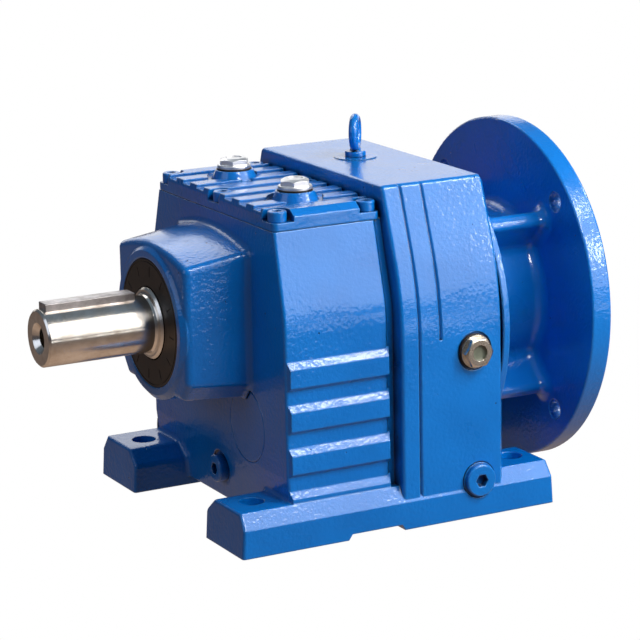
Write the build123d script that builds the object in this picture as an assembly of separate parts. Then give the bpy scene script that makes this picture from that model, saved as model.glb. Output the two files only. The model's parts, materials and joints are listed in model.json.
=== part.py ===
from build123d import *
import math
import os

# Foot-mounted two-stage helical gearbox with a round motor flange.
# Millimetres. The origin is the centre of the four foot holes on the mounting plane.
# +X runs from the output shaft to the motor flange, +Y to the left of that, +Z up.

# ---------------------------------------------------------------- driving dimensions
# Shaft axes, as (y, z)
OUTPUT_AXIS = (0.0, 140.0)
INPUT_AXIS = (0.0, 130.3)
MIDDLE_AXIS = (-46.7, 70.8)

# Feet
FOOT_HOLE_X = 102.5
FOOT_HOLE_Y = 87.5
FOOT_HOLE_R = 8.75
FOOT_X = (-124.0, 121.0)
FOOT_INNER_Y = 58.4
FOOT_OUTER_Y = 116.6
FOOT_HEIGHT = 30.0
FOOT_RELIEF_X = (-44.3, 0.8)
FOOT_RELIEF = 4.0

# Casing: the front block under the cover and the taller rear block
FRONT_X = -84.0
STEP_X = 0.0
REAR_X = 80.0
BELLY_Z = 6.0
JOINT_Z = 213.3
REAR_TOP_Z = 235.5
FRONT_HALF = 106.0
REAR_HALF = 115.6
TOP_HALF = 90.5
WALL = 8.0
FLOOR_Z = 12.0
WEB_X = (-27.0, -9.0)
WEB_TOP_Z = 196.0
REAR_WALL_X = 68.0
REAR_OPENING_R = 88.0

# Boss round the output shaft
BOSS_X = -132.0
BOSS_RIM_X = -134.5
BOSS_HALF = (54.5, 56.0)
BOSS_R = 54.2
SEAL_BORE_R = 45.0
SEAL_BORE_END_X = -103.6
BOSS_CAVITY_R = 40.0

# Output shaft
SHAFT_R = 20.0
SHAFT_END_X = -216.4
SHAFT_SHOULDER_X = -136.4
SHAFT_SEAL_R = 25.0
KEY_WIDTH = 12.0
KEY_PROUD = 4.2
KEY_DEPTH = 5.0
KEY_X = (-212.4, -147.0)
CENTRE_HOLE_R = 7.0
CENTRE_HOLE_DEPTH = 36.0
CENTRE_CONE_R = 10.8

# Cover
COVER_X = (-82.7, -1.5)
GASKET_T = 0.5
COVER_EDGE_Z = 222.3
COVER_SEAT_Z = 219.0
COVER_FLOOR_Z = 224.2
COVER_RIB_Z = 226.6
COVER_RIB_PITCH = 22.0
COVER_RIB_W = 11.0
COVER_SIDE_SLOPE = 6.0
COVER_SCREW_X = (-75.5, -8.5)
COVER_SCREW_Y = 82.5
COVER_SCREW_R = 4.0
COVER_POCKET_R = 8.6
PLUG_X = -43.1
PLUG_Y = 46.7
PLUG_BOSS_Z = 230.9
PLUG_CLEAR_R = 19.5

# Motor adapter
PLATE_R = 116.5
PLATE_X = (80.5, 85.0)
PLATE_TOP_Z = 227.4
PAD_R = 103.0
PAD_X = 92.0
NECK_R = 60.5
NECK_FILLET_R = 8.0
FLANGE_X = (147.8, 163.4)
FLANGE_R = 125.0
FLANGE_HOLE_PCD = 215.0
FLANGE_HOLE_R = 7.5
SPIGOT_R = 90.0
SPIGOT_DEPTH = 5.0
HOLLOW_R = 54.0
HOLLOW_X = 143.5
BRACE_R = 91.0
BRACE_W = 12.0
MOTOR_SHAFT_R = 14.0
ADAPTER_BOLT_R = 95.0
ADAPTER_BOLTS = 8

# Gears: normal module, tooth counts, profile shift of the pinion
STAGE_1 = {"module": 2.0, "pinion": 21, "gear": 52, "shift": 0.2}
STAGE_2 = {"module": 2.5, "pinion": 13, "gear": 51, "shift": 0.3}
PRESSURE_ANGLE = math.radians(20)
BACKLASH = 0.35
TIP_RELIEF = 0.15
GEAR_1_X = (14.0, 38.0)
PINION_1_X = (12.0, 41.0)
GEAR_2_X = (-60.0, -32.0)
PINION_2_X = (-62.0, -30.0)
MIDDLE_JOURNAL_R = 12.5
GEAR_2_SEAT_R = 24.0
INPUT_SEAT_R = 12.0

# Bearings: bore radius, outer radius, width, ball radius, ball count
BEARING_50 = (25.0, 45.0, 20.0, 6.35, 10)
BEARING_35 = (17.5, 36.0, 17.0, 5.56, 9)
BEARING_25 = (12.5, 26.0, 15.0, 3.97, 9)
BEARING_45 = (22.5, 42.5, 19.0, 6.35, 10)
OUTPUT_FRONT_BEARING_X = -103.6 - 20.0
OUTPUT_REAR_BEARING_X = -26.5
MIDDLE_FRONT_BEARING_X = -79.5
MIDDLE_REAR_BEARING_X = -26.5
INPUT_FRONT_BEARING_X = 66.0
INPUT_REAR_BEARING_X = 112.0
BALL_CLEARANCE = 0.12

# Plugs on the casing, as (x, z) on the side with negative y
SIGHT_AT = (57.0, 119.0)
DRAIN_AT = (60.0, 26.5)
FRONT_PLUG_Z = 28.0
EYE_AT = (39.5, 18.0)
EYE_TURN = 54.0
THREAD_CLEARANCE = 0.05


# ---------------------------------------------------------------- helpers
def across(x):
    """The plane normal to X at x, with local axes along +Y and +Z."""
    return Plane(origin=(x, 0, 0), x_dir=(0, 1, 0), z_dir=(1, 0, 0))


def prism(face, x0, x1):
    """A (y, z) face carried from x0 to x1."""
    return extrude(across(x0) * face, amount=x1 - x0, dir=(1, 0, 0))


def outline(points):
    """A closed (y, z) face through straight-sided points."""
    return make_face(Polyline(*points, close=True))


def rod(radius, x0, x1, axis=(0.0, 0.0)):
    """A round bar along X."""
    return prism(Pos(*axis) * Circle(radius), x0, x1)


def tube(outer, inner, x0, x1, axis=(0.0, 0.0)):
    """A round sleeve along X."""
    return prism(Pos(*axis) * (Circle(outer) - Circle(inner)), x0, x1)


def turned(profile, axis):
    """A turned part along X from (x, radius) points, centred on a (y, z) axis."""
    face = make_face(Polyline(*[(x, r, 0) for x, r in profile], close=True))
    return Pos(0, *axis) * revolve(face, Axis.X)


def spot(x, y, z):
    """A location whose local +Z points out of the side wall, towards -Y."""
    return Location(Plane(origin=(x, y, z), x_dir=(1, 0, 0), z_dir=(0, -1, 0)))


def facing_front(x, y, z):
    """A location whose local +Z points forwards, towards -X."""
    return Location(Plane(origin=(x, y, z), x_dir=(0, -1, 0), z_dir=(-1, 0, 0)))


def upright(radius, x, y, z0, z1):
    """A round post along Z."""
    return Pos(x, y, z0) * Cylinder(radius, z1 - z0, align=(Align.CENTER, Align.CENTER, Align.MIN))


def disc(radius, height):
    """A cylinder standing on local z = 0."""
    return Cylinder(radius, height, align=(Align.CENTER, Align.CENTER, Align.MIN))


def hexagon(across_flats, height):
    """A hexagonal prism standing on local z = 0."""
    return extrude(RegularPolygon(across_flats / 2, 6, major_radius=False), amount=height)


def hex_head(across_flats, height, top_r):
    """A hexagon head turned off at 30 degrees down from a top circle of radius top_r."""
    outer = across_flats / math.sqrt(3) + 1
    drop = (outer - top_r) * math.tan(math.radians(30))
    profile = Polyline((0, 0), (outer, 0), (outer, height - drop), (top_r, height), (0, height), close=True)
    blank = revolve(Plane.XZ * make_face(profile), Axis.Z)
    return hexagon(across_flats, height) & blank


def both_sides(shape):
    """The shape and its mirror image across the middle plane."""
    return shape + mirror(shape, Plane.XZ)


# ---------------------------------------------------------------- casing sections
def front_section(inset=0.0, top=JOINT_Z, bottom=BELLY_Z):
    """Section of the front block: upright walls leaning inwards above the shaft."""
    half = FRONT_HALF - inset
    shoulder = 155.5
    lean = (TOP_HALF - FRONT_HALF) / (JOINT_Z - shoulder)
    edge = half + lean * (top - shoulder)
    face = outline([
        (-half, bottom), (half, bottom), (half, shoulder),
        (edge, top), (-edge, top), (-half, shoulder)])
    rounded = [v for v in face.vertices() if abs(v.Y - shoulder) < 1]
    return fillet(rounded, 80.0)


def rear_section(inset=0.0, top=REAR_TOP_Z, bottom=BELLY_Z):
    """Section of the rear block: upright walls, a long arc, then a straight lean to the top."""
    half = REAR_HALF - inset
    lean_angle = math.atan2(106.3 - TOP_HALF, REAR_TOP_Z - 189.7)
    arc_r = 187.0
    start_z = 189.7 - arc_r * math.sin(lean_angle)
    arc_end = (half - arc_r * (1 - math.cos(lean_angle)), 189.7)
    arc_mid = (half - arc_r * (1 - math.cos(lean_angle / 2)), start_z + arc_r * math.sin(lean_angle / 2))
    edge = arc_end[0] - math.tan(lean_angle) * (top - arc_end[1])
    lines = [Line((-half, bottom), (half, bottom)), Line((edge, top), (-edge, top))]
    for side in (-1, 1):
        lines.append(Line((side * half, bottom), (side * half, start_z)))
        lines.append(ThreePointArc(
            (side * half, start_z), (side * arc_mid[0], arc_mid[1]), (side * arc_end[0], arc_end[1])))
        lines.append(Line((side * arc_end[0], arc_end[1]), (side * edge, top)))
    face = make_face(lines)
    return fillet([v for v in face.vertices() if abs(v.Y - top) < 0.1], 4.0)


def foot_section():
    """Section of the foot on the +Y side, its inner shoulder rounded."""
    face = outline([
        (FOOT_INNER_Y, 0), (FOOT_OUTER_Y, 0), (FOOT_OUTER_Y, 19.5), (109.5, FOOT_HEIGHT),
        (70.0, FOOT_HEIGHT), (FOOT_INNER_Y, 20.0)])
    shoulder = [v for v in face.vertices() if v.X < 75 and v.Y > 10]
    return fillet(shoulder, 5.0)


# ---------------------------------------------------------------- casing
def foot():
    """One long foot with drafted ends, two bolt holes and a relieved middle."""
    x0, x1 = FOOT_X
    body = prism(foot_section(), x0, x1)
    draft = 2.0
    for end, sign in ((x0, 1), (x1, -1)):
        wedge = extrude(Plane.XZ * make_face(Polyline(
            (end, 0), (end + sign * draft, FOOT_HEIGHT + 1),
            (end - sign * 5, FOOT_HEIGHT + 1), (end - sign * 5, 0),
            close=True)), amount=150, both=True)
        body -= wedge
    side_edges = body.edges().filter_by(GeomType.LINE).filter_by(
        lambda e: min(abs(e.center().X - x0), abs(e.center().X - x1)) < 3 and 1 < e.center().Z)
    body = fillet(side_edges, 2.0)
    relief = extrude(Plane.XZ * make_face(Polyline(
        (FOOT_RELIEF_X[0], -1), (FOOT_RELIEF_X[0] + 3.5, FOOT_RELIEF), (FOOT_RELIEF_X[1] - 2.5, FOOT_RELIEF),
        (FOOT_RELIEF_X[1], -1), close=True)), amount=150, both=True)
    body -= relief
    for x in (-FOOT_HOLE_X, FOOT_HOLE_X):
        body -= upright(FOOT_HOLE_R, x, FOOT_HOLE_Y, -1, FOOT_HEIGHT + 1)
    return body


def side_wedge(*points):
    """A cutter across the whole casing from an (x, z) outline."""
    return extrude(Plane.XZ * make_face(Polyline(*points, close=True)), amount=150, both=True)


def front_block():
    """The block under the cover, waisted at the rear, its front face leaning back at top and bottom."""
    flare_x = -7.1
    waist_x = -4.5
    waist = front_section(3.0)
    body = prism(front_section(), FRONT_X, flare_x)
    body += loft([across(flare_x) * front_section(), across(waist_x) * waist], ruled=True)
    body += prism(waist, waist_x, STEP_X + 2)
    ahead = FRONT_X - 1
    top_lean = COVER_X[0] - FRONT_X
    body -= side_wedge((ahead, 158), (FRONT_X, 158), (FRONT_X + top_lean, JOINT_Z + 1), (ahead, JOINT_Z + 1))
    body -= side_wedge((ahead, 46), (FRONT_X, 46), (FRONT_X + 4.5, BELLY_Z - 1), (ahead, BELLY_Z - 1))
    upright_corners = body.edges().filter_by(
        lambda e: e.center().X < FRONT_X + 4 and abs(e.center().Y) > 80 and e.length > 10)
    return fillet(upright_corners, 2.0)


def rear_block():
    """The taller block behind the cover, with two vertical grooves in each side."""
    bevel = 2.5
    body = prism(rear_section(), STEP_X, REAR_X - bevel)
    body = fillet(body.edges().filter_by(lambda e: abs(e.center().X) < 0.1 and e.center().Z > 120), 2.5)
    back = rear_section(bevel, top=REAR_TOP_Z - bevel)
    body += loft([across(REAR_X - bevel) * rear_section(), across(REAR_X) * back], ruled=True)
    for x, low in ((14.0, 0.0), (30.5, 130.0)):
        body -= side_groove(x, 1.6, low)
    return body


def side_groove(x, depth, low):
    """A vee groove down both sides at x, above height low."""
    outer = rear_section(-0.2)
    inner = rear_section(depth)
    slab = prism(rear_section(-8), x - depth, x + depth)
    core = loft([across(x - depth) * outer, across(x) * inner, across(x + depth) * outer], ruled=True)
    band = Pos(x, 0, (low + REAR_TOP_Z) / 2) * Box(20, 300, REAR_TOP_Z - low)
    return (slab - core) & band


def side_rib(z, x0=-83.2, x1=-4.6):
    """One raised band on the +Y side wall: bevelled edges round a flat face."""
    wall = FRONT_HALF - 1.0
    face_y = FRONT_HALF + 3.2
    front_bevel = 1.4
    rear_bevel = 2.0
    base = Plane(origin=((x0 + x1) / 2, wall, z - 9.7), x_dir=(1, 0, 0), z_dir=(0, 1, 0))
    crown_x = (x0 + front_bevel + x1 - rear_bevel) / 2
    crown = Plane(origin=(crown_x, face_y, z - 11.1), x_dir=(1, 0, 0), z_dir=(0, 1, 0))
    length = x1 - x0
    flat = length - front_bevel - rear_bevel
    return loft([base * Rectangle(length, 22.0), crown * Rectangle(flat, 12.8)], ruled=True)


def boss_section(half, crown_z, side_z, low_z, base_z):
    """Section of the block round the output shaft: arched top, chamfered lower corners."""
    step = 10.0
    lines = [
        Line((-half, side_z), (-half, low_z)),
        Line((-half, low_z), (-half + step, base_z)),
        Line((-half + step, base_z), (half - step, base_z)),
        Line((half - step, base_z), (half, low_z)),
        Line((half, low_z), (half, side_z)),
        ThreePointArc((half, side_z), (0, crown_z), (-half, side_z)),
    ]
    return make_face(Wire(lines))


def boss():
    """The boss that carries the front output bearing and the seal."""
    front_half, rear_half = BOSS_HALF
    root_x = FRONT_X + 4
    block = loft([
        across(BOSS_X) * boss_section(front_half, 196.2, 186.6, 106.6, 93.6),
        across(root_x) * boss_section(rear_half, 202.4, 194.5, 102.0, 90.0)], ruled=True)
    middle_x = (BOSS_X + root_x) / 2
    corners = block.edges().filter_by(lambda e: abs(e.center().X - middle_x) < 1 and abs(e.center().Y) > 30)
    block = fillet(corners, 5.0)
    front_edges = block.edges().filter_by(lambda e: abs(e.center().X - BOSS_X) < 0.1)
    block = fillet(front_edges, 4.8)
    ring = turned([
        (root_x, 0), (root_x, BOSS_R), (BOSS_X + 1.0, BOSS_R),
        (BOSS_RIM_X, 50.4), (BOSS_RIM_X, 0)], OUTPUT_AXIS)
    return block + ring


def inner_hollows():
    """The two oil chambers, the cover opening and the opening to the motor adapter."""
    front = prism(front_section(WALL, top=JOINT_Z - 10, bottom=FLOOR_Z), FRONT_X + WALL, STEP_X + WALL)
    web_middle = (WEB_X[0] + WEB_X[1]) / 2
    front -= Pos(web_middle, 0, WEB_TOP_Z / 2) * Box(WEB_X[1] - WEB_X[0], 300, WEB_TOP_Z)
    rear = prism(rear_section(WALL + 1, top=REAR_TOP_Z - 9.5, bottom=FLOOR_Z), STEP_X + WALL, REAR_WALL_X)
    window = Pos(PLUG_X, 0, JOINT_Z - 5) * Box(52, 150, 14)
    back = rod(REAR_OPENING_R, REAR_WALL_X, REAR_X, INPUT_AXIS)
    return front + rear + window + back


def bearing_bores():
    """Everything cut on the three shaft axes."""
    seal_bore = rod(SEAL_BORE_R, BOSS_RIM_X - 1, SEAL_BORE_END_X, OUTPUT_AXIS)
    seal_chamfer = turned([
        (BOSS_RIM_X - 1, 0), (BOSS_RIM_X - 1, SEAL_BORE_R + 1.8),
        (BOSS_RIM_X + 0.8, SEAL_BORE_R), (BOSS_RIM_X + 0.8, 0)],
        OUTPUT_AXIS)
    collar_space = rod(BOSS_CAVITY_R, SEAL_BORE_END_X, FRONT_X + WALL, OUTPUT_AXIS)
    rear_output = rod(BEARING_35[1], WEB_X[0] + 0.5, WEB_X[1], OUTPUT_AXIS)
    rear_output_lip = rod(BEARING_35[1] - 4, WEB_X[0], WEB_X[0] + 0.5, OUTPUT_AXIS)
    front_middle = rod(BEARING_25[1], FRONT_X - 1, MIDDLE_FRONT_BEARING_X + 15, MIDDLE_AXIS)
    front_middle_lip = rod(BEARING_25[1] - 3, MIDDLE_FRONT_BEARING_X + 15, -60.0, MIDDLE_AXIS)
    cap_chamfer = turned([
        (FRONT_X - 1, 0), (FRONT_X - 1, 27.5), (FRONT_X + 0.5, 26.0), (FRONT_X + 0.5, 0)], MIDDLE_AXIS)
    rear_middle = rod(BEARING_25[1], WEB_X[0] + 0.5, WEB_X[1], MIDDLE_AXIS)
    rear_middle_lip = rod(BEARING_25[1] - 4, WEB_X[0], WEB_X[0] + 0.5, MIDDLE_AXIS)
    return (seal_bore + seal_chamfer + collar_space + rear_output + rear_output_lip + front_middle
            + front_middle_lip + cap_chamfer + rear_middle + rear_middle_lip)


def blended(body, radius, y_span, z_span):
    """The body with a fillet where the front face meets what stands out of it, within both spans."""
    corners = [
        e for e in body.edges()
        if FRONT_X - 1 < e.center().X < FRONT_X + 6 and e.length > 2
        and y_span[0] < abs(e.center().Y) < y_span[1] and z_span[0] < e.center().Z < z_span[1]]
    return fillet(corners, radius)


def gear_housing():
    """The cast casing with feet, boss, ribs, chambers, bores and threaded holes."""
    body = blended(front_block() + boss(), 5.0, (-1, 57), (85, 206))
    body = blended(body + rear_block() + both_sides(foot()), 3.0, (57, 104), (5, 31))
    ribs = Part() + [side_rib(z) for z in (127.5, 97.8, 67.8, 37.8)]
    body += both_sides(ribs)
    body -= inner_hollows()
    body += rod(33.0, FRONT_X + WALL - 1, MIDDLE_FRONT_BEARING_X + 17, MIDDLE_AXIS)
    body -= bearing_bores()
    for x, y in cover_screw_places():
        body -= upright(COVER_SCREW_R, x, y, JOINT_Z - 13, JOINT_Z + 1)
    for y, z in adapter_bolt_places():
        body -= rod(4.0 + THREAD_CLEARANCE, REAR_WALL_X, REAR_X + 1, (y, z))
    for y in (-96.0, 96.0):
        body -= rod(3.0, REAR_X - 8, REAR_X + 1, (y, INPUT_AXIS[1]))
    body -= upright(4.0 + THREAD_CLEARANCE, *EYE_AT, REAR_TOP_Z - 9, REAR_TOP_Z + 1)
    pad = upright(15.5, *EYE_AT, REAR_TOP_Z - 1, REAR_TOP_Z + 0.6)
    body += pad - upright(4.0 + THREAD_CLEARANCE, *EYE_AT, REAR_TOP_Z - 2, REAR_TOP_Z + 2)
    x, z = SIGHT_AT
    body -= spot(x, -REAR_HALF + 12, z) * disc(9.0 + THREAD_CLEARANCE, 14)
    body -= spot(x, -REAR_HALF + 1.0, z) * disc(13.6, 4)
    x, z = DRAIN_AT
    body -= spot(x, -REAR_HALF + 12, z) * disc(8.0 + THREAD_CLEARANCE, 14)
    body -= spot(x, -REAR_HALF + 0.8, z) * disc(13.0, 4)
    body -= facing_front(FRONT_X + 12, 0, FRONT_PLUG_Z) * disc(6.5 + THREAD_CLEARANCE, 14)
    body -= facing_front(FRONT_X + 3.2, 0, FRONT_PLUG_Z) * disc(13.0, 8)
    return body


# ---------------------------------------------------------------- cover
def cover_screw_places():
    """Six cover screws: four corners and the middle of the front and rear edges."""
    return [(x, y) for x in COVER_SCREW_X for y in (-COVER_SCREW_Y, 0.0, COVER_SCREW_Y)]


def cover_outline(inset_x=0.0, inset_y=0.0):
    """Plan of the cover, with rounded corners."""
    length = COVER_X[1] - COVER_X[0] - 2 * inset_x
    middle = (COVER_X[0] + COVER_X[1]) / 2
    return Pos(middle, 0) * RectangleRounded(length, 2 * (TOP_HALF - inset_y), 4.0)


def cover_groove(y):
    """The cutter between two cover ribs; it runs out at the front and has a rounded rear end."""
    rear_x = COVER_X[1] + 1
    width = COVER_RIB_PITCH - COVER_RIB_W
    plan = Pos((COVER_X[0] - 1 + rear_x) / 2, y) * Rectangle(rear_x - COVER_X[0] + 1, width)
    return extrude(Pos(0, 0, COVER_FLOOR_Z) * plan, amount=COVER_RIB_Z - COVER_FLOOR_Z + 1)


def screw_pocket(x, y):
    """The cutter that sinks a screw seat in the edge of the cover, open towards the outside."""
    r = COVER_POCKET_R
    height = COVER_RIB_Z - COVER_SEAT_Z + 1
    plan = Pos(x, y) * Circle(r)
    out_x = math.copysign(6.0, x - PLUG_X)
    if x < PLUG_X or y:
        plan += Pos(x + out_x, y) * Rectangle(12, 2 * r)
    if y:
        plan += Pos(x, y + math.copysign(6.0, y)) * Rectangle(2 * r, 12)
    return extrude(Pos(0, 0, COVER_SEAT_Z) * plan, amount=height)


def top_cover():
    """Ribbed cover plate with two plug bosses and six screw pockets."""
    low = JOINT_Z + GASKET_T
    body = extrude(Pos(0, 0, low) * cover_outline(), amount=COVER_EDGE_Z - low)
    crown_plan = cover_outline(1.2, COVER_SIDE_SLOPE)
    body += loft([Pos(0, 0, COVER_EDGE_Z) * cover_outline(), Pos(0, 0, COVER_RIB_Z) * crown_plan], ruled=True)
    for k in range(-3, 4):
        body -= cover_groove(k * COVER_RIB_PITCH)
    for x, y in cover_screw_places():
        body -= screw_pocket(x, y)
    boss_height = PLUG_BOSS_Z - COVER_EDGE_Z
    for y in (-PLUG_Y, PLUG_Y):
        body -= upright(PLUG_CLEAR_R, PLUG_X, y, COVER_FLOOR_Z, COVER_RIB_Z + 1)
        body += Pos(PLUG_X, y, COVER_EDGE_Z) * Cone(
            17.0, 13.4, boss_height, align=(Align.CENTER, Align.CENTER, Align.MIN))
        body -= upright(8.0 + THREAD_CLEARANCE, PLUG_X, y, low - 1, PLUG_BOSS_Z + 1)
    for x, y in cover_screw_places():
        body -= upright(COVER_SCREW_R + 0.4, x, y, low - 1, COVER_RIB_Z + 1)
    return body - Pos(PLUG_X, 0, low) * Box(50, 148, 5)


def cover_gasket():
    """Thin flat gasket under the cover."""
    face = cover_outline(0.4, 0.4) - Pos(PLUG_X, 0) * Rectangle(52, 150)
    for x, y in cover_screw_places():
        face -= Pos(x, y) * Circle(COVER_SCREW_R + 0.4)
    return extrude(Pos(0, 0, JOINT_Z) * face, amount=GASKET_T)


def cover_screws():
    """Six socket-head screws sunk in the cover pockets."""
    blank = disc(6.5, 7.2)
    head = chamfer(blank.edges().group_by(Axis.Z)[-1], 0.7) - Pos(0, 0, 3.4) * hexagon(6.0, 4)
    screw = head + Pos(0, 0, -17) * disc(COVER_SCREW_R - THREAD_CLEARANCE, 17.2)
    return Compound(children=[Pos(x, y, COVER_SEAT_Z) * screw for x, y in cover_screw_places()])


def flange_plug():
    """A hexagon plug with a round flange, a dished top and a threaded shank."""
    shank = Pos(0, 0, -12) * disc(8.0, 12.5)
    flange = fillet(disc(11.8, 2.6).edges().group_by(Axis.Z)[-1], 1.2)
    head = Pos(0, 0, 1.6) * hex_head(19.0, 5.6, 7.6)
    body = shank + flange + head
    return body - Pos(0, 0, 6.6) * disc(5.6, 2)


def breather_plug():
    """Vent plug: the flange plug with an axial vent passage that leaves through one flat."""
    body = flange_plug() - Pos(0, 0, -13) * disc(2.2, 17)
    side_hole = Rot(0, 90, 90) * disc(0.9, 15)
    body -= Pos(0, 0, 3.7) * side_hole
    return Pos(PLUG_X, PLUG_Y, PLUG_BOSS_Z + 1.2) * body


def filler_plug():
    return Pos(PLUG_X, -PLUG_Y, PLUG_BOSS_Z + 1.2) * flange_plug()


def plug_washers():
    """Black sealing washers under the two top plugs."""
    ring = extrude(Circle(12.4) - Circle(8.0 + THREAD_CLEARANCE), amount=1.2)
    return Compound(children=[Pos(PLUG_X, y, PLUG_BOSS_Z) * ring for y in (-PLUG_Y, PLUG_Y)])


# ---------------------------------------------------------------- small parts on the casing
def eye_bolt():
    """Lifting eye with a collar and a short threaded shank."""
    ring_r = 10.3
    wire_r = 3.3
    centre_z = 253.0 - REAR_TOP_Z
    ring = Pos(0, 0, centre_z) * Rot(90, 0, 0) * Torus(ring_r, wire_r)
    collar = Pos(0, 0, 0.6) * fillet(disc(7.6, 4.0).edges().group_by(Axis.Z)[-1], 1.0)
    neck = Pos(0, 0, 4.0) * Cone(4.4, 3.4, 3.6, align=(Align.CENTER, Align.CENTER, Align.MIN))
    shank = Pos(0, 0, -8.5) * disc(4.0, 10)
    return Pos(*EYE_AT, REAR_TOP_Z) * Rot(0, 0, EYE_TURN) * (collar + neck + shank + ring)


def sight_glass_body():
    """Hexagon oil-level plug with a round window opening."""
    x, z = SIGHT_AT
    shank = Pos(0, 0, -9) * disc(9.0, 10)
    flange = disc(11.6, 1.6)
    head = Pos(0, 0, 1.0) * hex_head(19.0, 6.0, 9.0)
    bore = Pos(0, 0, 4.6) * disc(5.6, 5) + Pos(0, 0, -10) * disc(4.2, 20) + Pos(0, 0, 1.2) * disc(5.6, 4)
    return spot(x, -REAR_HALF + 0.4 - 1.4, z) * (shank + flange + head - bore)


def sight_glass_lens():
    """The round window of the oil-level plug."""
    x, z = SIGHT_AT
    return spot(x, -REAR_HALF + 0.4 - 1.4, z) * Pos(0, 0, 1.2) * disc(5.6, 3.4)


def sight_glass_washer():
    """Dark sealing ring under the oil-level plug."""
    x, z = SIGHT_AT
    return spot(x, -REAR_HALF + 1.0, z) * extrude(Circle(12.2) - Circle(9.0 + THREAD_CLEARANCE), amount=2.0)


def socket_plug(flange_r, flange_t, thread_r, thread_len, key_af):
    """A flanged plug with a hexagon socket."""
    flange = disc(flange_r, flange_t)
    rim = flange.edges().group_by(Axis.Z)[-1]
    flange = chamfer(rim, 0.8)
    body = flange + Pos(0, 0, -thread_len) * disc(thread_r, thread_len + 0.5)
    return body - Pos(0, 0, flange_t - 5.0) * hexagon(key_af, 6)


def drain_plug():
    x, z = DRAIN_AT
    return spot(x, -REAR_HALF + 0.8 - 1.4, z) * socket_plug(11.4, 3.8, 8.0, 8.5, 8.5)


def drain_plug_washer():
    """Sealing washer under the drain plug."""
    x, z = DRAIN_AT
    return spot(x, -REAR_HALF + 0.8, z) * extrude(Circle(12.4) - Circle(8.0 + THREAD_CLEARANCE), amount=1.4)


def front_socket_plug():
    return facing_front(FRONT_X + 3.2, 0, FRONT_PLUG_Z) * socket_plug(9.8, 7.2, 6.5, 8.0, 8.0)


def bearing_end_cap():
    """Pressed-in cap that closes the bore of the middle shaft at the front."""
    return turned([
        (FRONT_X, 0), (FRONT_X, 25.4), (FRONT_X + 0.6, 26.0), (FRONT_X + 4.2, 26.0), (FRONT_X + 4.2, 23.0),
        (FRONT_X + 2.2, 22.0), (FRONT_X + 2.2, 0)], MIDDLE_AXIS)


def locating_dowels():
    """Two pins that place the motor adapter on the casing."""
    pins = [rod(3.0, REAR_X - 8, PLATE_X[1] - 0.5, (y, INPUT_AXIS[1])) for y in (-96.0, 96.0)]
    return Compound(children=pins)


# ---------------------------------------------------------------- motor adapter
def adapter_bolt_places():
    """Adapter bolts on their circle, as (y, z)."""
    places = []
    for k in range(ADAPTER_BOLTS):
        angle = math.radians(22.5 + 360 / ADAPTER_BOLTS * k)
        places.append((ADAPTER_BOLT_R * math.cos(angle), INPUT_AXIS[1] + ADAPTER_BOLT_R * math.sin(angle)))
    return places


def plate_outline(radius):
    """Round plate outline, cut flat below the top of the casing."""
    return Pos(*INPUT_AXIS) * Circle(radius) - Pos(0, PLATE_TOP_Z + 50) * Rectangle(300, 100)


def braces():
    """Four bars along the neck, at 45 degrees, that end on the flange."""
    group = Part()
    for k in range(4):
        bar = Pos((PAD_X + FLANGE_X[0]) / 2, 0, BRACE_R / 2 + 15) * Box(
            FLANGE_X[0] - PAD_X + 10, BRACE_W, BRACE_R - 30)
        corners = bar.edges().filter_by(Axis.X).group_by(Axis.Z)[-1]
        bar = fillet(corners, 4.5)
        group += Pos(0, *INPUT_AXIS) * Rot(45 + 90 * k, 0, 0) * bar
    return group


def brace_roots(body):
    """The inner corners where the neck and the braces meet each other and the flange."""
    middle_x = (PAD_X + FLANGE_X[0]) / 2
    roots = []
    for edge in body.edges():
        at = edge.center()
        radius = math.hypot(at.Y - INPUT_AXIS[0], at.Z - INPUT_AXIS[1])
        on_flange = abs(at.X - FLANGE_X[0]) < 0.1 and radius < BRACE_R + 1
        on_neck = abs(at.X - middle_x) < 1 and radius < NECK_R + 2
        if on_flange or on_neck:
            roots.append(edge)
    return roots


def motor_adapter():
    """Casting between the casing and the motor: plate, neck, braces and round flange."""
    plate = prism(plate_outline(PLATE_R), *PLATE_X)
    pad = rod(PAD_R, PLATE_X[1], PAD_X, INPUT_AXIS) & prism(plate_outline(PLATE_R), PLATE_X[1], PAD_X)
    neck = rod(NECK_R, PAD_X - 1, FLANGE_X[0] + 1, INPUT_AXIS)
    flange = rod(FLANGE_R, *FLANGE_X, INPUT_AXIS)
    flange = fillet(flange.edges().filter_by(GeomType.CIRCLE), 1.6)
    body = plate + pad + neck + flange + braces()
    body = fillet(brace_roots(body), NECK_FILLET_R)
    body += rod(BEARING_35[1] + 8, INPUT_FRONT_BEARING_X, PAD_X, INPUT_AXIS)
    body -= rod(SPIGOT_R, FLANGE_X[1] - SPIGOT_DEPTH, FLANGE_X[1] + 1, INPUT_AXIS)
    body -= rod(HOLLOW_R, HOLLOW_X, FLANGE_X[1], INPUT_AXIS)
    body -= rod(BEARING_45[1], INPUT_REAR_BEARING_X, HOLLOW_X + 1, INPUT_AXIS)
    body -= rod(30.0, INPUT_FRONT_BEARING_X - 1, HOLLOW_X, INPUT_AXIS)
    body -= rod(BEARING_35[1], INPUT_FRONT_BEARING_X - 1, INPUT_FRONT_BEARING_X + 17, INPUT_AXIS)
    for k in range(4):
        angle = math.radians(45 + 90 * k)
        reach = FLANGE_HOLE_PCD / 2
        hole_at = (reach * math.cos(angle), INPUT_AXIS[1] + reach * math.sin(angle))
        body -= rod(FLANGE_HOLE_R, FLANGE_X[0] - 1, FLANGE_X[1] + 1, hole_at)
    for place in adapter_bolt_places():
        body -= rod(4.5, PLATE_X[0] - 1, PAD_X + 1, place)
        body -= rod(7.2, PAD_X - 8.2, PAD_X + 1, place)
    for y in (-96.0, 96.0):
        body -= rod(3.0, PLATE_X[0] - 1, PLATE_X[1] - 0.5, (y, INPUT_AXIS[1]))
    return body


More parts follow.
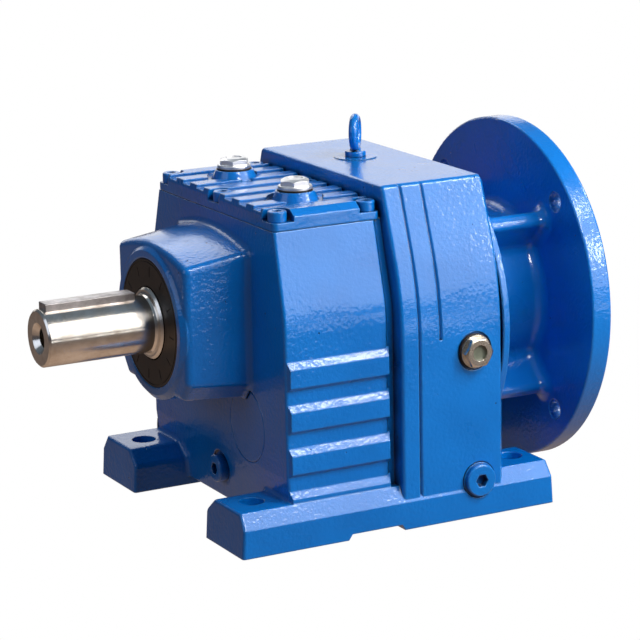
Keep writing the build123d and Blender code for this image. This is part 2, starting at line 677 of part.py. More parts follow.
def adapter_gasket():
    """Flat gasket between the casing and the adapter plate."""
    face = plate_outline(PLATE_R - 0.4) - Pos(*INPUT_AXIS) * Circle(REAR_OPENING_R)
    for y, z in adapter_bolt_places():
        face -= Pos(y, z) * Circle(4.5)
    for y in (-96.0, 96.0):
        face -= Pos(y, INPUT_AXIS[1]) * Circle(3.0)
    return prism(face, REAR_X, PLATE_X[0])


def adapter_bolts():
    """Socket-head screws sunk into the adapter plate."""
    group = []
    for place in adapter_bolt_places():
        head = rod(6.5, PAD_X - 8.2, PAD_X - 0.2, place)
        shank = rod(4.0, REAR_WALL_X + 1, PAD_X - 8, place)
        key = prism(Pos(*place) * RegularPolygon(3.0, 6, major_radius=False), PAD_X - 4.2, PAD_X)
        group.append(head + shank - key)
    return Compound(children=group)


# ---------------------------------------------------------------- gears
def involute(angle):
    return math.tan(angle) - angle


def gear_face(teeth, module, pitch_r, shift, phase):
    """Transverse section of a helical gear with involute flanks; a tooth is centred on phase."""
    helix_cos = module * teeth / (2 * pitch_r)
    transverse = math.atan(math.tan(PRESSURE_ANGLE) / helix_cos)
    base_r = pitch_r * math.cos(transverse)
    tip_r = pitch_r + module * (1 + shift) - TIP_RELIEF
    root_r = pitch_r - module * (1.25 - shift)
    half = (math.pi / 2 + 2 * shift * math.tan(PRESSURE_ANGLE)) / teeth - BACKLASH / 2 / pitch_r

    def flank_angle(radius):
        return half + involute(transverse) - involute(math.acos(base_r / radius))

    def polar(radius, angle):
        return (radius * math.cos(angle), radius * math.sin(angle))

    start = max(base_r, root_r) + 0.05
    radii = [start + (tip_r - start) * k / 3 for k in range(4)]
    pitch = 2 * math.pi / teeth
    edges = []
    for i in range(teeth):
        centre = phase + i * pitch
        lower = [polar(r, centre - flank_angle(r)) for r in radii]
        upper = [polar(r, centre + flank_angle(r)) for r in reversed(radii)]
        root_in = polar(root_r, centre - flank_angle(start))
        root_out = polar(root_r, centre + flank_angle(start))
        root_next = polar(root_r, centre + pitch - flank_angle(start))
        edges.append(Line(root_in, lower[0]))
        edges.append(Spline(*lower))
        edges.append(Line(lower[-1], upper[0]))
        edges.append(Spline(*upper))
        edges.append(Line(upper[-1], root_out))
        edges.append(Line(root_out, root_next))
    return Face(Wire(edges))


def helical_gear(stage, member, axis, other_axis, span, reference_x, hand):
    """One gear of a stage, in mesh with its partner at reference_x."""
    distance = math.dist(axis, other_axis)
    total = stage["pinion"] + stage["gear"]
    teeth = stage[member]
    pitch_r = distance * teeth / total
    shift = stage["shift"] if member == "pinion" else -stage["shift"]
    helix = math.acos(stage["module"] * total / (2 * distance))
    twist_per_mm = hand * math.tan(helix) / pitch_r
    towards = math.atan2(other_axis[1] - axis[1], other_axis[0] - axis[0])
    phase = towards if member == "gear" else towards + math.pi / teeth
    x0, x1 = span
    face = gear_face(teeth, stage["module"], pitch_r, shift, phase + twist_per_mm * (x0 - reference_x))
    length = x1 - x0
    body = Solid.extrude_linear_with_rotation(
        face, (0, 0, 0), (0, 0, length), math.degrees(twist_per_mm * length))
    return Plane(origin=(x0, *axis), x_dir=(0, 1, 0), z_dir=(1, 0, 0)) * body


def bore_with_keyway(radius, width, depth, x0, x1, axis):
    """The cutter for a bore with a keyway on its top side."""
    slot = Pos((x0 + x1) / 2, axis[0], axis[1] + radius / 2 + depth / 2) * Box(x1 - x0, width, radius + depth)
    return rod(radius, x0, x1, axis) + slot


def parallel_key(width, height, x0, x1, bottom_r, axis):
    """A key with square ends, its underside bottom_r above the axis."""
    return Pos((x0 + x1) / 2, axis[0], axis[1] + bottom_r + height / 2) * Box(x1 - x0, width, height)


def output_gear():
    """Large gear of the second stage, with a thinned web on both faces."""
    body = helical_gear(STAGE_2, "gear", OUTPUT_AXIS, MIDDLE_AXIS, GEAR_2_X, -46.0, 1)
    x0, x1 = GEAR_2_X
    for a, b in ((x0 - 1, x0 + 7), (x1 - 7, x1 + 1)):
        body -= tube(56.0, 36.0, a, b, OUTPUT_AXIS)
    return body - bore_with_keyway(GEAR_2_SEAT_R, 14.0, 3.8, x0 - 1, x1 + 1, OUTPUT_AXIS)


def intermediate_gear():
    """Large gear of the first stage, with a thinned web on both faces."""
    body = helical_gear(STAGE_1, "gear", MIDDLE_AXIS, INPUT_AXIS, GEAR_1_X, 26.0, -1)
    x0, x1 = GEAR_1_X
    for a, b in ((x0 - 1, x0 + 6), (x1 - 6, x1 + 1)):
        body -= tube(45.0, 22.0, a, b, MIDDLE_AXIS)
    return body - bore_with_keyway(MIDDLE_JOURNAL_R, 8.0, 3.3, x0 - 1, x1 + 1, MIDDLE_AXIS)


def input_pinion():
    """Pinion of the first stage."""
    body = helical_gear(STAGE_1, "pinion", INPUT_AXIS, MIDDLE_AXIS, PINION_1_X, 26.0, 1)
    x0, x1 = PINION_1_X
    return body - bore_with_keyway(INPUT_SEAT_R, 8.0, 3.3, x0 - 1, x1 + 1, INPUT_AXIS)


def intermediate_pinion_shaft():
    """Middle shaft, with the second-stage pinion cut in it."""
    teeth = helical_gear(STAGE_2, "pinion", MIDDLE_AXIS, OUTPUT_AXIS, PINION_2_X, -46.0, -1)
    r = MIDDLE_JOURNAL_R
    shaft = turned([
        (-79.0, 0), (-79.0, r - 1), (-78.0, r), (-64.5, r), (-64.5, 14.4), (-28.5, 14.4), (-26.5, r + 1.5),
        (-26.5, r), (42.0, r), (43.0, r - 1), (43.0, 0)], MIDDLE_AXIS)
    groove = tube(r + 1, r - 1, 38.1, 39.7, MIDDLE_AXIS)
    keyway = parallel_key(8.0, 5.0, 16.0, 36.0, r - 4.0, MIDDLE_AXIS)
    return shaft + teeth - groove - keyway


# ---------------------------------------------------------------- shafts, keys, seals and clips
def output_shaft():
    """Stepped shaft with a keyed end, a threaded centre hole and the gear seat."""
    e, s = SHAFT_END_X, SHAFT_SHOULDER_X
    r = SHAFT_R
    body = turned([
        (e, 0), (e, r - 1.4), (e + 1.4, r), (s - 2.4, r), (s - 0.7, r + 0.7), (s, r + 2.2),
        (s, SHAFT_SEAL_R - 1.6), (s + 1.6, SHAFT_SEAL_R), (-103.6, SHAFT_SEAL_R),
        (-103.6, 30.0), (-60.0, 30.0), (-60.0, GEAR_2_SEAT_R),
        (-32.0, GEAR_2_SEAT_R), (-32.0, 17.5), (-9.5, 17.5), (-8.5, 16.5), (-8.5, 0)], OUTPUT_AXIS)
    body -= turned([
        (e - 1, 0), (e - 1, CENTRE_CONE_R + 0.6), (e, CENTRE_CONE_R), (e + 3.8, CENTRE_HOLE_R),
        (e + CENTRE_HOLE_DEPTH, CENTRE_HOLE_R), (e + CENTRE_HOLE_DEPTH + 4, 0)], OUTPUT_AXIS)
    body -= parallel_key(KEY_WIDTH, r, *KEY_X, r - KEY_DEPTH, OUTPUT_AXIS)
    return body - parallel_key(14.0, 8.0, -56.0, -36.0, GEAR_2_SEAT_R - 5.5, OUTPUT_AXIS)


def output_shaft_key():
    """Square-ended key of the output shaft."""
    body = parallel_key(KEY_WIDTH, KEY_DEPTH + KEY_PROUD, *KEY_X, SHAFT_R - KEY_DEPTH, OUTPUT_AXIS)
    return chamfer(body.edges().group_by(Axis.Z)[-1], 0.4)


def output_gear_key():
    return parallel_key(14.0, 9.0, -56.0, -36.0, GEAR_2_SEAT_R - 5.5, OUTPUT_AXIS)


def output_gear_spacer():
    """Sleeve between the output gear and its rear bearing."""
    return tube(23.0, 17.5, -32.0, OUTPUT_REAR_BEARING_X, OUTPUT_AXIS)


def intermediate_gear_key():
    return parallel_key(8.0, 7.0, 16.0, 36.0, MIDDLE_JOURNAL_R - 4.0, MIDDLE_AXIS)


def intermediate_spacer():
    """Sleeve between the rear bearing of the middle shaft and its gear."""
    return tube(16.5, MIDDLE_JOURNAL_R, MIDDLE_REAR_BEARING_X + 15, GEAR_1_X[0], MIDDLE_AXIS)


def retaining_ring(bore_r, outer_r, x0, x1, axis, gap_angle):
    """An open retaining ring with a gap at the given angle."""
    ring = tube(outer_r, bore_r, x0, x1, axis)
    gap = Pos((x0 + x1) / 2, *axis) * Rot(gap_angle, 0, 0) * Pos(0, 0, outer_r) * Box(4, 5, 2 * outer_r)
    return ring - gap


def intermediate_circlip():
    return retaining_ring(MIDDLE_JOURNAL_R - 1, MIDDLE_JOURNAL_R + 2.5, 38.1, 39.6, MIDDLE_AXIS, 180)


def input_shaft():
    """Input shaft: pinion seat in front, hollow end with a keyway for the motor shaft."""
    p = INPUT_SEAT_R
    body = turned([
        (8.0, 0), (8.0, p - 1), (9.0, p), (41.0, p), (41.0, 15.0), (66.0, 15.0), (66.0, 17.5), (83.0, 17.5),
        (83.0, 22.0), (96.0, 22.0), (96.0, 27.0), (112.0, 27.0), (112.0, 22.5), (149.0, 22.5), (150.0, 21.5),
        (150.0, 0)], INPUT_AXIS)
    body -= turned([(101.0, 0), (101.0, MOTOR_SHAFT_R), (151.0, MOTOR_SHAFT_R), (151.0, 0)], INPUT_AXIS)
    y, z = INPUT_AXIS
    body -= Pos(127.0, y, z + MOTOR_SHAFT_R / 2 + 1.65) * Box(52.0, 8.0, MOTOR_SHAFT_R + 3.3)
    body -= tube(p + 1, p - 1, 9.9, 11.5, INPUT_AXIS)
    return body - parallel_key(8.0, 5.0, 15.0, 37.0, p - 4.0, INPUT_AXIS)


def input_pinion_key():
    return parallel_key(8.0, 7.0, 15.0, 37.0, INPUT_SEAT_R - 4.0, INPUT_AXIS)


def input_circlip():
    return retaining_ring(INPUT_SEAT_R - 1, INPUT_SEAT_R + 2.5, 10.0, 11.5, INPUT_AXIS, 180)


def adapter_circlip():
    """Internal retaining ring behind the rear input bearing."""
    return retaining_ring(BEARING_45[1] - 4, BEARING_45[1], 131.1, 132.6, INPUT_AXIS, 0)


def shaft_seal(outer_r, shaft_r, x0, x1, axis, lip_gap):
    """Lip seal: a rim in the bore, a thin face, and a lip that rides just off the shaft."""
    t = x1 - x0
    return turned([
        (x0, shaft_r + 0.9), (x0, outer_r - 0.6), (x0 + 0.6, outer_r), (x1, outer_r), (x1, outer_r - 2.5),
        (x0 + 3.2, outer_r - 2.5), (x0 + 3.2, shaft_r + 4), (x0 + 0.75 * t, shaft_r + 3.6),
        (x0 + 0.62 * t, shaft_r + lip_gap), (x0 + 0.48 * t, shaft_r + 0.6)], axis)


def output_seal():
    """Seal of the output shaft, with shallow radial marks moulded in its face."""
    x0 = -134.2
    body = shaft_seal(SEAL_BORE_R, SHAFT_SEAL_R, x0, x0 + 10.0, OUTPUT_AXIS, 0.05)
    body -= tube(43.4, 42.7, x0 - 1, x0 + 0.5, OUTPUT_AXIS)
    marks = 12
    for k in range(marks):
        bar = Pos(x0, 0, 36.6) * Box(0.9, 0.9, 7.0)
        body -= Pos(0, *OUTPUT_AXIS) * Rot(360 / marks * k + 5, 0, 0) * bar
    return body


def input_seal():
    """Seal of the input shaft, facing the motor."""
    flipped = mirror(shaft_seal(BEARING_45[1], 22.5, -142.6, -132.6, INPUT_AXIS, 0.05), Plane.YZ)
    return flipped


# ---------------------------------------------------------------- ball bearings
def bearing_parts(size, x0, axis):
    """Outer ring, inner ring and balls of a deep-groove bearing that starts at x0."""
    bore_r, outer_r, width, ball_r, count = size
    pitch_r = (bore_r + outer_r) / 2
    middle = x0 + width / 2
    land = (outer_r - bore_r) / 2
    groove = Pos(middle, *axis) * Rot(0, 90, 0) * Torus(pitch_r, ball_r + BALL_CLEARANCE)
    outer = tube(outer_r, pitch_r + 0.27 * land, x0, x0 + width, axis) - groove
    inner = tube(pitch_r - 0.27 * land, bore_r, x0, x0 + width, axis) - groove
    balls = []
    for k in range(count):
        angle = 2 * math.pi * k / count
        balls.append(Pos(middle, axis[0] + pitch_r * math.cos(angle), axis[1] + pitch_r * math.sin(angle))
                     * Sphere(ball_r))
    return {"outer_ring": outer, "inner_ring": inner, "balls": Compound(children=balls)}


BEARINGS = {
    "output_front_bearing": (BEARING_50, OUTPUT_FRONT_BEARING_X, OUTPUT_AXIS),
    "output_rear_bearing": (BEARING_35, OUTPUT_REAR_BEARING_X, OUTPUT_AXIS),
    "middle_front_bearing": (BEARING_25, MIDDLE_FRONT_BEARING_X, MIDDLE_AXIS),
    "middle_rear_bearing": (BEARING_25, MIDDLE_REAR_BEARING_X, MIDDLE_AXIS),
    "input_front_bearing": (BEARING_35, INPUT_FRONT_BEARING_X, INPUT_AXIS),
    "input_rear_bearing": (BEARING_45, INPUT_REAR_BEARING_X, INPUT_AXIS),
}

PIECES = {
    "gear_housing": gear_housing,
    "top_cover": top_cover,
    "cover_gasket": cover_gasket,
    "cover_screws": cover_screws,
    "breather_plug": breather_plug,
    "filler_plug": filler_plug,
    "plug_washers": plug_washers,
    "eye_bolt": eye_bolt,
    "sight_glass_body": sight_glass_body,
    "sight_glass_lens": sight_glass_lens,
    "sight_glass_washer": sight_glass_washer,
    "drain_plug": drain_plug,
    "drain_plug_washer": drain_plug_washer,
    "front_socket_plug": front_socket_plug,
    "bearing_end_cap": bearing_end_cap,
    "locating_dowels": locating_dowels,
    "motor_adapter": motor_adapter,
    "adapter_gasket": adapter_gasket,
    "adapter_bolts": adapter_bolts,
    "adapter_circlip": adapter_circlip,
    "output_seal": output_seal,
    "input_seal": input_seal,
    "output_shaft": output_shaft,
    "output_shaft_key": output_shaft_key,
    "output_gear": output_gear,
    "output_gear_key": output_gear_key,
    "output_gear_spacer": output_gear_spacer,
    "intermediate_pinion_shaft": intermediate_pinion_shaft,
    "intermediate_gear": intermediate_gear,
    "intermediate_gear_key": intermediate_gear_key,
    "intermediate_spacer": intermediate_spacer,
    "intermediate_circlip": intermediate_circlip,
    "input_shaft": input_shaft,
    "input_pinion": input_pinion,
    "input_pinion_key": input_pinion_key,
    "input_circlip": input_circlip,
}


def main():
    os.makedirs("parts", exist_ok=True)
    for name, make in PIECES.items():
        export_step(make(), f"parts/{name}.step")
    for name, (size, x0, axis) in BEARINGS.items():
        for piece, shape in bearing_parts(size, x0, axis).items():
            export_step(shape, f"parts/{name}_{piece}.step")


main()
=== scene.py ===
import bpy
import json
import math
from mathutils import Matrix, Vector

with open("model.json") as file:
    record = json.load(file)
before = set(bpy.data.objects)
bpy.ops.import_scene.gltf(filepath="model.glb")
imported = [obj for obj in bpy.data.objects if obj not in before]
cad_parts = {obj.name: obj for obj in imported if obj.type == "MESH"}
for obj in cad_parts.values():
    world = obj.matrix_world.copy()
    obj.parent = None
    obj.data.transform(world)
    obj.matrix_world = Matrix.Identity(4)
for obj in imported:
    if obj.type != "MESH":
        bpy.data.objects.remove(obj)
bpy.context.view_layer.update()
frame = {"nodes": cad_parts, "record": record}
NODES = frame["nodes"]

# ---------------------------------------------------------------- driving values, in metres and degrees
CAMERA_AZIMUTH = -27.82
CAMERA_ELEVATION = 13.80
CAMERA_ROLL = -1.14
CAMERA_DISTANCE = 1.9312
CAMERA_LENS = 153.2
CAMERA_SENSOR = 36.0
CAMERA_AIM = Vector((-0.024, 0.0, 0.110))
CAMERA_SHIFT_RIGHT = 0.01982
CAMERA_SHIFT_UP = 0.01694
CAMERA_NEAR = 0.1
CAMERA_FAR = 20.0

FLOOR_SIZE = 12.0
FLOOR_LIGHT_Z = 0.002
LIGHT_AIM = Vector((0.0, 0.0, 0.12))

# The room as the object sees it: straight down, at eye level and straight up
ROOM_BELOW = (0.50, 0.37, 0.29, 1.0)
ROOM_LEVEL = (0.05, 0.05, 0.06, 1.0)
ROOM_ABOVE = (0.14, 0.19, 0.25, 1.0)
ROOM_DIFFUSE_SHARE = 0.45
WHITE = (1.0, 1.0, 1.0, 1.0)

# Azimuth, elevation, distance, width, height and radiance of each light,
# then its colour and whether it faces up
SOFTBOXES = {
    "key_right": (34, 31, 1.7, 1.2, 1.8, 2.6),
    "bevel_glow": (42, 48, 1.7, 0.4, 0.3, 17.0),
    "key_core": (44, 22, 1.65, 0.3, 0.35, 16.0),
    "spark_front": (4, 44, 1.7, 0.3, 0.3, 26.0),
    "back_wall": (150, 12, 2.0, 3.0, 0.9, 0.95),
    "low_right": (30, 0, 1.55, 0.9, 1.0, 2.6, (1.0, 1.0, 1.0), True),
    "spark_right": (75, 42, 1.7, 0.2, 0.2, 30.0),
    "rear_fill": (172, 42, 1.9, 1.0, 1.0, 2.0),
    "left_fill": (-88, 25, 1.8, 1.0, 1.0, 1.2, (0.7, 0.8, 1.0)),
}

# Sockets of a colour mix node that share their names with its other modes
MIX_A = 6
MIX_B = 7
MIX_RESULT = 2


# ---------------------------------------------------------------- node material helper
class Surface:
    """A principled material with short calls for the textures that feed it."""

    def __init__(self, name):
        self.material = bpy.data.materials.new(name)
        self.material.use_nodes = True
        self.tree = self.material.node_tree
        self.shader = self.tree.nodes["Principled BSDF"]
        self.object_coordinates = self.node("ShaderNodeTexCoord").outputs["Object"]

    def node(self, kind, **settings):
        made = self.tree.nodes.new(kind)
        for key, value in settings.items():
            setattr(made, key, value)
        return made

    def link(self, source, target):
        """Joins two sockets, or sets a socket to a plain value."""
        if isinstance(source, (int, float, tuple)):
            target.default_value = source
        else:
            self.tree.links.new(source, target)

    def put(self, **values):
        """Sets shader sockets by name, with underscores for spaces."""
        for key, value in values.items():
            self.link(value, self.shader.inputs[key.replace("_", " ")])

    def stretched(self, x, y, z):
        mapping = self.node("ShaderNodeMapping")
        mapping.inputs["Scale"].default_value = (x, y, z)
        self.link(self.object_coordinates, mapping.inputs["Vector"])
        return mapping.outputs["Vector"]

    def noise(self, size, detail=2.0, roughness=0.5, vector=None):
        """Noise whose features are about size metres across."""
        made = self.node("ShaderNodeTexNoise")
        self.link(vector or self.object_coordinates, made.inputs["Vector"])
        made.inputs["Scale"].default_value = 1.0 / size
        made.inputs["Detail"].default_value = detail
        made.inputs["Roughness"].default_value = roughness
        return made.outputs["Fac"]

    def cells(self, size):
        """Distance to the nearest of points scattered about size metres apart."""
        made = self.node("ShaderNodeTexVoronoi")
        self.link(self.object_coordinates, made.inputs["Vector"])
        made.inputs["Scale"].default_value = 1.0 / size
        return made.outputs["Distance"]

    def ramp(self, value, low, high, out_low=0.0, out_high=1.0):
        made = self.node("ShaderNodeMapRange")
        self.link(value, made.inputs["Value"])
        made.inputs["From Min"].default_value = low
        made.inputs["From Max"].default_value = high
        made.inputs["To Min"].default_value = out_low
        made.inputs["To Max"].default_value = out_high
        return made.outputs["Result"]

    def math(self, operation, a, b):
        made = self.node("ShaderNodeMath", operation=operation)
        self.link(a, made.inputs[0])
        self.link(b, made.inputs[1])
        return made.outputs["Value"]

    def mix(self, factor, a, b):
        made = self.node("ShaderNodeMix", data_type="RGBA")
        self.link(factor, made.inputs["Factor"])
        self.link(a, made.inputs[MIX_A])
        self.link(b, made.inputs[MIX_B])
        return made.outputs[MIX_RESULT]

    def edge_normal(self, radius):
        """A normal that rounds hard edges by radius."""
        made = self.node("ShaderNodeBevel", samples=6)
        made.inputs["Radius"].default_value = radius
        return made.outputs["Normal"]

    def edge_mask(self, rounded):
        """Near 1 on convex and concave edges, 0 on flats."""
        flat = self.node("ShaderNodeNewGeometry").outputs["Normal"]
        product = self.node("ShaderNodeVectorMath", operation="DOT_PRODUCT")
        self.link(rounded, product.inputs[0])
        self.link(flat, product.inputs[1])
        return self.ramp(product.outputs["Value"], 1.0, 0.86)

    def painted_shade_mask(self, distance, low, high):
        """1 in the open, 0 deep in holes and grooves narrower than distance; it sets where shade is
        painted.
        """
        made = self.node("ShaderNodeAmbientOcclusion", samples=4)
        made.inputs["Distance"].default_value = distance
        return self.ramp(made.outputs["AO"], low, high)

    def bump(self, height, depth, normal=None):
        made = self.node("ShaderNodeBump")
        made.inputs["Distance"].default_value = depth
        made.inputs["Strength"].default_value = 1.0
        self.link(height, made.inputs["Height"])
        if normal is not None:
            self.link(normal, made.inputs["Normal"])
        return made.outputs["Normal"]


def rgb(red, green, blue):
    """An sRGB colour from 0 to 255 as the linear tuple that shaders take."""
    def linear(c):
        c /= 255
        return c / 12.92 if c <= 0.04045 else ((c + 0.055) / 1.055) ** 2.4
    return (linear(red), linear(green), linear(blue), 1.0)


# ---------------------------------------------------------------- materials
def enamel_colour(s, cloud, rounded, pits):
    """Blue paint in two tones, lighter over edges from thin paint and a painted highlight, with painted
    shade in pits, holes and joints.
    """
    body = s.mix(s.ramp(cloud, 0.3, 0.7), rgb(0, 116, 204), rgb(0, 126, 218))
    # Lighter blue along edges: partly thin paint over them, partly a painted highlight.
    uneven = s.ramp(s.noise(0.004, detail=3), 0.35, 0.65, 0.35, 0.9)
    edge = s.math("MULTIPLY", s.edge_mask(rounded), uneven)
    colour = s.mix(s.math("MULTIPLY", edge, 0.55), body, rgb(84, 172, 236))
    # Painted shade: pits darkened to navy.
    colour = s.mix(s.math("MULTIPLY", pits, 0.9), colour, rgb(2, 16, 52))
    # Painted shade from ambient occlusion: navy in holes, darker navy in the tight joints between parts.
    hole_width, joint_width = 0.012, 0.0022
    colour = s.mix(s.painted_shade_mask(hole_width, 0.15, 0.62), rgb(0, 26, 66), colour)
    return s.mix(s.painted_shade_mask(joint_width, 0.35, 0.75), rgb(0, 20, 54), colour)


def enamel_relief(s, pits):
    """Height of the painted casting: cast grain that fades in patches, orange peel, slow waves and pits."""
    grain = s.noise(0.0027, detail=1, roughness=0.4)
    peel = s.noise(0.0012, detail=1)
    waves = s.noise(0.024, detail=1)
    patches = s.ramp(s.noise(0.06, detail=1), 0.35, 0.65, 0.45, 1.0)
    height = s.math("MULTIPLY", grain, patches)
    height = s.math("ADD", height, s.math("MULTIPLY", peel, 0.22))
    height = s.math("ADD", height, s.math("MULTIPLY", waves, 1.2))
    return s.math("SUBTRACT", height, s.math("MULTIPLY", pits, 2.5))


def blue_enamel():
    """Glossy enamel over cast iron."""
    edge_radius, relief_depth = 0.0014, 0.0003
    s = Surface("blue_enamel")
    rounded = s.edge_normal(edge_radius)
    cloud = s.noise(0.05, detail=3)
    pit = s.ramp(s.cells(0.013), 0.055, 0.03)
    rare = s.ramp(s.noise(0.03, detail=1), 0.5, 0.56)
    pits = s.math("MULTIPLY", pit, rare)
    colour = enamel_colour(s, cloud, rounded, pits)
    normal = s.bump(enamel_relief(s, pits), relief_depth, rounded)
    s.put(Base_Color=colour, Metallic=0.0, IOR=1.5, Specular_IOR_Level=0.22, Normal=normal,
          Roughness=s.ramp(cloud, 0.2, 0.8, 0.24, 0.36),
          Coat_Weight=1.0, Coat_Roughness=0.06, Coat_Normal=normal)
    return s.material


def steel(name, light, dark, roughness, turned=True, scratch=0.00001, metal=1.0):
    """Bare metal with turning marks round X or fine drawn lines, cloudy colour and nicks."""
    s = Surface(name)
    rounded = s.edge_normal(radius=0.0004)
    cloud = s.noise(0.012, detail=4, roughness=0.6)
    colour = s.mix(s.ramp(cloud, 0.35, 0.7), light, dark)
    along = s.stretched(6.0, 0.12, 0.12) if turned else s.stretched(0.12, 5.0, 5.0)
    lines = s.noise(0.001, detail=3, roughness=0.7, vector=along)
    nicks = s.noise(0.0009, detail=4, roughness=0.7)
    height = s.math("ADD", lines, s.math("MULTIPLY", nicks, 0.35))
    s.put(Base_Color=colour, Metallic=metal, Normal=s.bump(height, scratch, rounded),
          Roughness=s.ramp(cloud, 0.25, 0.75, roughness * 0.8, roughness * 1.35))
    return s.material


def rubber(name, light, dark, roughness):
    """Moulded rubber with a fine grain and a dusty bloom."""
    s = Surface(name)
    rounded = s.edge_normal(radius=0.0003)
    cloud = s.noise(0.009, detail=4)
    colour = s.mix(s.ramp(cloud, 0.35, 0.7), dark, light)
    grain = s.noise(0.0006, detail=2)
    bloom = s.math("MULTIPLY", s.noise(0.004, detail=2), 0.8)
    s.put(Base_Color=colour, Roughness=s.ramp(cloud, 0.2, 0.8, roughness * 0.8, roughness * 1.2),
          Normal=s.bump(s.math("ADD", grain, bloom), depth=0.00004, normal=rounded), Specular_IOR_Level=0.4)
    return s.material


def window_glass():
    """Slightly cloudy glass over oil."""
    s = Surface("window_glass")
    cloud = s.noise(0.004, detail=2)
    s.put(Base_Color=s.mix(cloud, rgb(96, 104, 90), rgb(130, 134, 118)), Roughness=0.12, IOR=1.5,
          Coat_Weight=1.0, Coat_Roughness=0.03, Normal=s.bump(cloud, depth=0.00005))
    return s.material


def fibre(name, light, dark):
    """Pressed gasket sheet."""
    s = Surface(name)
    grain = s.noise(0.0008, detail=4, roughness=0.7)
    s.put(Base_Color=s.mix(grain, dark, light), Roughness=0.85, Normal=s.bump(grain, depth=0.00006))
    return s.material


MATERIALS = {
    "blue_paint": blue_enamel(),
    "polished_steel": steel("polished_steel", rgb(240, 233, 223), rgb(214, 202, 187), 0.19),
    "key_steel": steel(
        "key_steel", rgb(214, 208, 206), rgb(150, 142, 138), 0.4, turned=False, scratch=0.00003),
    "machined_steel": steel("machined_steel", rgb(190, 190, 192), rgb(150, 150, 152), 0.28),
    "gear_steel": steel("gear_steel", rgb(170, 172, 176), rgb(124, 126, 130), 0.26),
    "bearing_steel": steel("bearing_steel", rgb(206, 208, 212), rgb(176, 178, 182), 0.12),
    "plated_steel": steel("plated_steel", rgb(252, 250, 248), rgb(232, 230, 230), 0.4, turned=False),
    "nickel_plated_brass": steel(
        "nickel_plated_brass", rgb(232, 226, 216), rgb(186, 172, 152), 0.24, turned=False),
    "window_glass": window_glass(),
    "seal_rubber": rubber("seal_rubber", rgb(62, 48, 37), rgb(34, 26, 20), 0.36),
    "gasket_sheet": fibre("gasket_sheet", rgb(58, 62, 66), rgb(28, 30, 34)),
    "black_steel": steel("black_steel", rgb(46, 46, 48), rgb(24, 24, 26), 0.4, turned=False, metal=0.8),
}

# The edge of this gasket was sprayed together with the casing.
PAINTED_OVER = ("adapter_gasket",)

for part in frame["record"]["subparts"]:
    mesh = NODES[part["node"]].data
    finish = "blue_paint" if part["node"] in PAINTED_OVER else part["material_slot"]
    mesh.materials.clear()
    mesh.materials.append(MATERIALS[finish])


# ---------------------------------------------------------------- stage
def floor():
    """A plain white floor that only the camera sees, so no floor glow reaches the paint."""
    half = FLOOR_SIZE / 2
    mesh = bpy.data.meshes.new("floor")
    corners = [(-half, -half, 0), (half, -half, 0), (half, half, 0), (-half, half, 0)]
    mesh.from_pydata(corners, [], [(0, 1, 2, 3)])
    made = bpy.data.objects.new("floor", mesh)
    s = Surface("floor_white")
    s.put(Base_Color=(0.0, 0.0, 0.0, 1.0), Roughness=1.0, Specular_IOR_Level=0.0,
          Emission_Color=WHITE, Emission_Strength=1.0)
    mesh.materials.append(s.material)
    made.visible_diffuse = False
    made.visible_glossy = False
    made.visible_transmission = False
    made.visible_shadow = False
    bpy.context.scene.collection.objects.link(made)


def direction_from(azimuth, elevation):
    """Unit vector from the object towards that azimuth, from the -Y side, and elevation, in radians."""
    level = math.cos(elevation)
    return Vector((math.sin(azimuth) * level, -math.cos(azimuth) * level, math.sin(elevation)))


def softbox(name, azimuth, elevation, distance, width, height, radiance,
            colour=(1.0, 1.0, 1.0), face_up=False):
    """A rectangular light that faces the object, or lies on the floor and faces up."""
    light = bpy.data.lights.new(name, "AREA")
    light.shape = "RECTANGLE"
    light.size = width
    light.size_y = height
    light.energy = radiance * math.pi * width * height
    light.color = colour
    made = bpy.data.objects.new(name, light)
    back = direction_from(math.radians(azimuth), math.radians(elevation))
    place = LIGHT_AIM + back * distance
    if face_up:
        place.z = FLOOR_LIGHT_Z
        away = Vector((0, 0, -1))
        side = Vector((back.x, back.y, 0)).normalized()
    else:
        away = back
        side = Vector((0, 0, 1)).cross(back).normalized()
    turn = Matrix((side, away.cross(side), away)).transposed().to_4x4()
    made.matrix_world = Matrix.Translation(place) @ turn
    made.visible_camera = False
    bpy.context.scene.collection.objects.link(made)


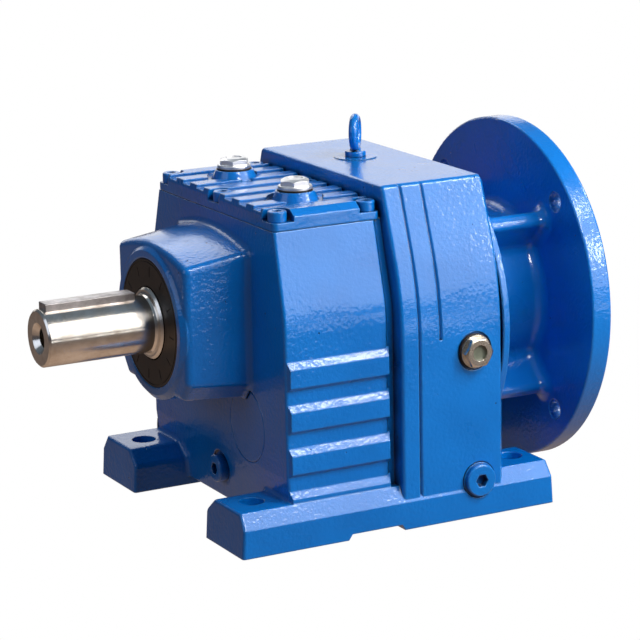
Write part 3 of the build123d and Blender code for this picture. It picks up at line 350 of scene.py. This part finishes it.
def room_colour(tree):
    """The room's colour by height: below, level, above."""
    direction = tree.nodes.new("ShaderNodeTexCoord").outputs["Generated"]
    height = tree.nodes.new("ShaderNodeSeparateXYZ")
    tree.links.new(direction, height.inputs["Vector"])
    room = tree.nodes.new("ShaderNodeValToRGB")
    stops = room.color_ramp.elements
    stops[0].position = 0.0
    stops[0].color = ROOM_BELOW
    stops[1].position = 1.0
    stops[1].color = ROOM_ABOVE
    stops.new(0.5).color = ROOM_LEVEL
    scale = tree.nodes.new("ShaderNodeMapRange")
    scale.inputs["From Min"].default_value = -1.0
    scale.inputs["From Max"].default_value = 1.0
    tree.links.new(height.outputs["Z"], scale.inputs["Value"])
    tree.links.new(scale.outputs["Result"], room.inputs["Fac"])
    return room.outputs["Color"]


def studio():
    """White behind the object for the camera; a dim room, warm below and cool above, for its light."""
    world = bpy.data.worlds.new("studio")
    bpy.context.scene.world = world
    world.use_nodes = True
    tree = world.node_tree
    background = tree.nodes["Background"]
    path = tree.nodes.new("ShaderNodeLightPath")
    dim = tree.nodes.new("ShaderNodeMapRange")
    dim.inputs["To Min"].default_value = 1.0
    dim.inputs["To Max"].default_value = ROOM_DIFFUSE_SHARE
    tree.links.new(path.outputs["Is Diffuse Ray"], dim.inputs["Value"])
    tree.links.new(dim.outputs["Result"], background.inputs["Strength"])
    choose = tree.nodes.new("ShaderNodeMix")
    choose.data_type = "RGBA"
    tree.links.new(path.outputs["Is Camera Ray"], choose.inputs["Factor"])
    tree.links.new(room_colour(tree), choose.inputs[MIX_A])
    choose.inputs[MIX_B].default_value = WHITE
    tree.links.new(choose.outputs[MIX_RESULT], background.inputs["Color"])
    for name, values in SOFTBOXES.items():
        softbox(name, *values)


def camera():
    """A long lens at the near left, slightly above the object."""
    back = direction_from(math.radians(CAMERA_AZIMUTH), math.radians(CAMERA_ELEVATION))
    roll = math.radians(CAMERA_ROLL)
    level = (-back).cross(Vector((0, 0, 1))).normalized()
    above = level.cross(-back)
    right = level * math.cos(roll) + above * math.sin(roll)
    up = above * math.cos(roll) - level * math.sin(roll)
    data = bpy.data.cameras.new("camera")
    data.lens = CAMERA_LENS
    data.sensor_width = CAMERA_SENSOR
    data.clip_start = CAMERA_NEAR
    data.clip_end = CAMERA_FAR
    made = bpy.data.objects.new("camera", data)
    spot = CAMERA_AIM + right * CAMERA_SHIFT_RIGHT + up * CAMERA_SHIFT_UP + back * CAMERA_DISTANCE
    turn = Matrix((right, up, back)).transposed().to_4x4()
    made.matrix_world = Matrix.Translation(spot) @ turn
    bpy.context.scene.collection.objects.link(made)
    bpy.context.scene.camera = made


floor()
studio()
camera()
bpy.context.scene.view_settings.view_transform = "Standard"
